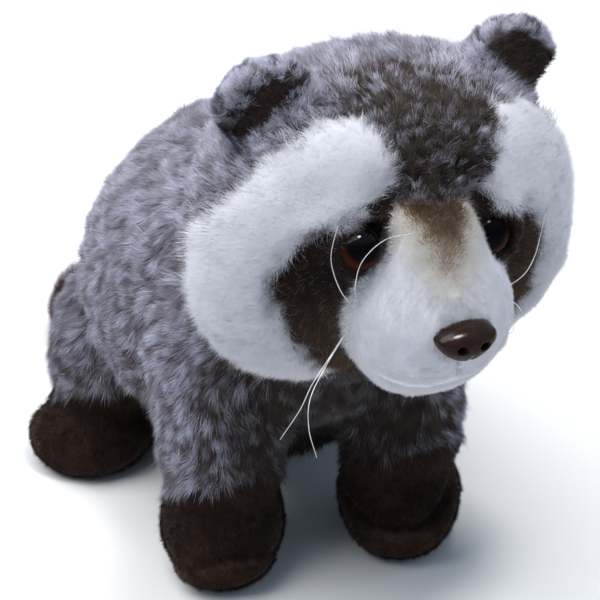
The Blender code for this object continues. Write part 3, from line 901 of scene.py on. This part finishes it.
eye = dict(
    radius=0.0067, gaze=dict(right=(0.02, -1.0, 1.08), left=(-0.38, -1.0, 0.92)),
    moves=dict(right=(-0.0025, 0.0003, -0.0003), left=(-0.0002, 0.0006, -0.0006)),
    shine=dict(right=0.36, left=0.06))


def eyeFinish(name, centre, gaze, shine):
    # the angle from the gaze axis sets pupil, iris and rim; the iris has fine streaks
    f = Finish(name, Specular_IOR_Level=0.02, Coat_Roughness=0.03)
    outward = f.vector("NORMALIZE", f.vector("SUBTRACT", f.here(), tuple(centre)))
    facing = f.vector("DOT_PRODUCT", outward, tuple(gaze), out=1)
    away = (1 - facing * facing) ** 0.5
    streak = f.noise(900.0, 2.0) * 0.05
    iris = f.ramp(away + streak, (0.0, (0.002, 0.002, 0.003)), (0.75, (0.002, 0.002, 0.003)),
                  (0.82, (0.016, 0.0035, 0.002)), (0.91, (0.042, 0.0085, 0.0035)),
                  (1.0, (0.01, 0.003, 0.002)))
    return f.paint(Base_Color=iris, Roughness=f.ramp(away, (0.62, 0.035), (0.8, 0.45)),
                   Coat_Weight=f.ramp(f.heightOf(outward), (0.5, 0.0), (0.68, shine)))


for side in ("right", "left"):
    node = "eye_" + side
    centre = middleOf(node) + eye["moves"][side]
    gaze = unit(headWays(eye["gaze"][side]))
    # a ball: radius times (sin v cos u, sin v sin u, cos v)
    v, u = np.meshgrid(np.linspace(0.0005, pi - 0.0005, 33), np.arange(48) * 2 * pi / 48, indexing="ij")
    sphere = np.stack([np.sin(v) * np.cos(u), np.sin(v) * np.sin(u), np.cos(v)], axis=2)
    finish = eyeFinish("eyePlastic" + side.capitalize(), centre, gaze, eye["shine"][side])
    piece = gridMesh("eyeball" + side.capitalize(), centre + eye["radius"] * sphere, finish)
    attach(piece, "root")
    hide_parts(node)

nose = dict(width=0.0092, height=0.0056, front=0.0054, stub=0.009, place=(0.0019, -0.0609, -0.0164),
            nostrils=(0.0035, 0.0006), nostrilSize=(0.0012, 0.0009), nostrilDepth=0.0034, nostrilRim=0.0002,
            cleft=0.0007, cleftWidth=0.0007)


def noseFinish():
    # moulded brown plastic with fine pores; within a nostril's width of each nostril's axis it is dull, and
    # painted black: painted shade in the nostrils
    f = Finish("nosePlastic", Specular_IOR_Level=0.09, Coat_Roughness=0.16)
    ahead = headWays((0, 1, 0))
    away = []
    for side in (-1, 1):
        middle = offHead(np.add(nose["place"], (side * nose["nostrils"][0], 0, nose["nostrils"][1])))
        across = f.vector("CROSS_PRODUCT", f.vector("SUBTRACT", f.here(), tuple(middle)), tuple(ahead))
        away.append(f.vector("LENGTH", across, out=1) * 300)
    nearer = away[0].sum("MINIMUM", away[1])
    mottle = f.mottled(240.0, 3.0, (0.011, 0.0045, 0.0034), (0.02, 0.0083, 0.006))
    # painted shade: black in the nostrils
    nostrilShade = f.ramp(nearer, (0.3, 1.0), (0.44, 0.0))
    height = f.heightOf(f.here()) - float(offHead(nose["place"])[2])
    shine = f.ramp(height * 100, (0.0, 0.0), (0.3, 0.42))
    return f.paint(Base_Color=f.blend(nostrilShade, mottle, (0.0015, 0.001, 0.001)), Coat_Weight=shine,
                   Roughness=f.ramp(nearer, (0.3, 0.85), (0.46, 0.12)),
                   Normal=f.bump(f.noise(2200.0, 2.0, 0.6), 0.5, 0.00015))


def noseSurface():
    # a domed front on a straight stub, its outline a rounded triangle, with two nostrils dented in
    v, u = np.meshgrid(np.linspace(0.001, pi - 0.001, 97), np.arange(128) * 2 * pi / 128, indexing="ij")
    back = np.clip(v / (pi / 2) - 1, 0, 1)
    across = np.where(v < pi / 2, np.sin(v) ** 0.9, (1 - back ** 8) ** 0.5)
    x, z = across * np.cos(u), across * np.sin(u)
    y = np.where(v < pi / 2, -np.cos(v) * nose["front"], back * nose["stub"])
    x = x * (1 + 0.26 * z - 0.06 * z * z)
    z = np.where(z > 0, z * 0.84, z * 1.08)
    places = np.stack([x * nose["width"], y, z * nose["height"]], axis=2)
    domed = y < 0
    x, y, z = np.moveaxis(places, 2, 0)
    for side in (-1, 1):
        away = np.hypot((x - side * nose["nostrils"][0]) / nose["nostrilSize"][0],
                        (z - nose["nostrils"][1]) / nose["nostrilSize"][1])
        dent = nose["nostrilDepth"] * np.exp(-away ** 2.4)
        y += (dent - nose["nostrilRim"] * bell(away - 1.6, 0.45)) * domed
    y += nose["cleft"] * bell(x, nose["cleftWidth"]) * ramp(z, -0.001, -0.004) * domed
    return offHead((places + nose["place"]).reshape(-1, 3)).reshape(places.shape)


nosePiece = gridMesh("nosePlastic", noseSurface(), noseFinish())
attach(nosePiece, "root")
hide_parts("nose")

nylon = Finish("whiskerNylon", Roughness=0.22, Coat_Weight=0.6)
nylon.paint(Base_Color=nylon.mottled(260.0, 1.0, (0.5, 0.5, 0.53), (0.74, 0.74, 0.77)))
whisker = dict(radius=0.00017, taper=0.55)
# their paths on the head, in millimetres
rightWhiskers = dict(
    upper=[(-24.5, -40, -12.4), (-29.6, -43, -5.2), (-33.3, -43.5, 2.9), (-34.6, -43, 9.6),
           (-33.1, -42, 18.1)],
    crossing=[(-23.5, -41, -9.8), (-27.4, -45.9, -1.7), (-27.2, -47.4, 8.4), (-23.4, -51.6, 18),
              (-18.5, -58.3, 23.9)],
    hanging=[(-26.5, -42, -21.5), (-34.5, -48.3, -23.8), (-40.8, -52, -28.3), (-45.3, -54.9, -33.9),
             (-51.4, -56.4, -42)],
    lower=[(-26.5, -42, -21.8), (-36.5, -50.6, -24.3), (-43.7, -57, -29), (-46.4, -63.3, -34),
           (-46.2, -69.1, -39.5)])
leftWhiskers = dict(
    upper=[(25.5, -40, -20), (30, -43.2, -13), (33.7, -41.8, -7.9), (36.2, -39.2, -3), (38.8, -36, 2)],
    crossing=[(26.5, -38, -18), (32, -37, -23), (38, -33, -29), (43, -27, -35), (46, -20, -40)],
    hanging=[(26.5, -40, -21.5), (32, -40, -27), (37, -36, -34), (40, -30, -40), (41, -23, -45)],
    lower=[(25.5, -40, -24), (30, -42, -31), (33, -39, -38), (34, -33, -44), (33, -26, -48)])


def thread(name, path, sides=8, rings=28):
    # rounds of a small circle carried along a smooth path, thinner towards its end
    u = np.linspace(0, 1, rings)
    line = curveThrough(path, u)
    ahead = unit(np.gradient(line, axis=0))
    across = unit(np.cross(ahead, (0.3, 0.2, 0.93)))
    other = np.cross(ahead, across)
    angle = np.arange(sides) * 2 * pi / sides
    size = whisker["radius"] * (1 - whisker["taper"] * u)
    rounds = line[:, None] + size[:, None, None] * (
        across[:, None] * np.cos(angle)[:, None] + other[:, None] * np.sin(angle)[:, None])
    return gridMesh(name, rounds, nylon.material)


for name in rightWhiskers:
    for side, paths in (("Right", rightWhiskers), ("Left", leftWhiskers)):
        piece = thread("whisker" + name.capitalize() + side, offHead(np.array(paths[name]) * 0.001))
        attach(piece, "root")
print("eyes, nose and whiskers")

floorFinish = Finish("paleFloor", Roughness=0.9, Specular_IOR_Level=0.1)
floorFinish.paint(Base_Color=floorFinish.mottled(3.0, 2.0, (0.82, 0.82, 0.83), (0.85, 0.85, 0.86)))
floorMesh = bpy.data.meshes.new("floor")
floorMesh.from_pydata([(-6, -6, 0), (6, -6, 0), (6, 6, 0), (-6, 6, 0)], [], [(0, 1, 2, 3)])
floorMesh.materials.append(floorFinish.material)
floor = placed("floor", floorMesh)

world = bpy.data.worlds.new("softRoom")
bpy.context.scene.world = world
world.use_nodes = True
backdrop = world.node_tree.nodes["Background"].inputs
backdrop["Color"].default_value, backdrop["Strength"].default_value = (0.66, 0.82, 1.0, 1), 0.4


def softbox(name, place, aim, size, power, colour):
    # a rectangular lamp that faces its aim; sizes in metres, power in watts
    light = bpy.data.lights.new(name, "AREA")
    light.shape = "RECTANGLE"
    light.size, light.size_y = size
    light.energy, light.color = power, colour
    box = placed(name, light)
    box.location = place
    box.rotation_euler = Vector(np.subtract(aim, place)).to_track_quat("-Z", "Y").to_euler()


softbox("ceilingSoftbox", (-1.05, 0.25, 2.12), (0, 0, 0), (2.4, 2.4), 66.0, (1.0, 0.985, 0.955))
softbox("keySoftbox", (0.12, -0.32, 1.25), (0, -0.05, 0.12), (0.28, 0.2), 8.5, (1.0, 0.985, 0.95))

view = dict(azimuth=radians(-21), elevation=radians(27), distance=0.75, target=(0, -0.0302, 0.085),
            lens=136.36, sensor=36.0)
level = cos(view["elevation"])
back = np.array([sin(view["azimuth"]) * level, -cos(view["azimuth"]) * level, sin(view["elevation"])])
cameraData = bpy.data.cameras.new("camera")
cameraData.lens = view["lens"]
cameraData.sensor_width = view["sensor"]
cameraData.clip_start, cameraData.clip_end = 0.01, 50
camera = placed("camera", cameraData)
camera.location = view["target"] + back * view["distance"]
camera.rotation_euler = Vector(-back).to_track_quat("-Z", "Y").to_euler()
bpy.context.scene.camera = camera
bpy.context.scene.view_settings.view_transform = "Standard"

bpy.context.view_layer.update()
print("all pieces made")
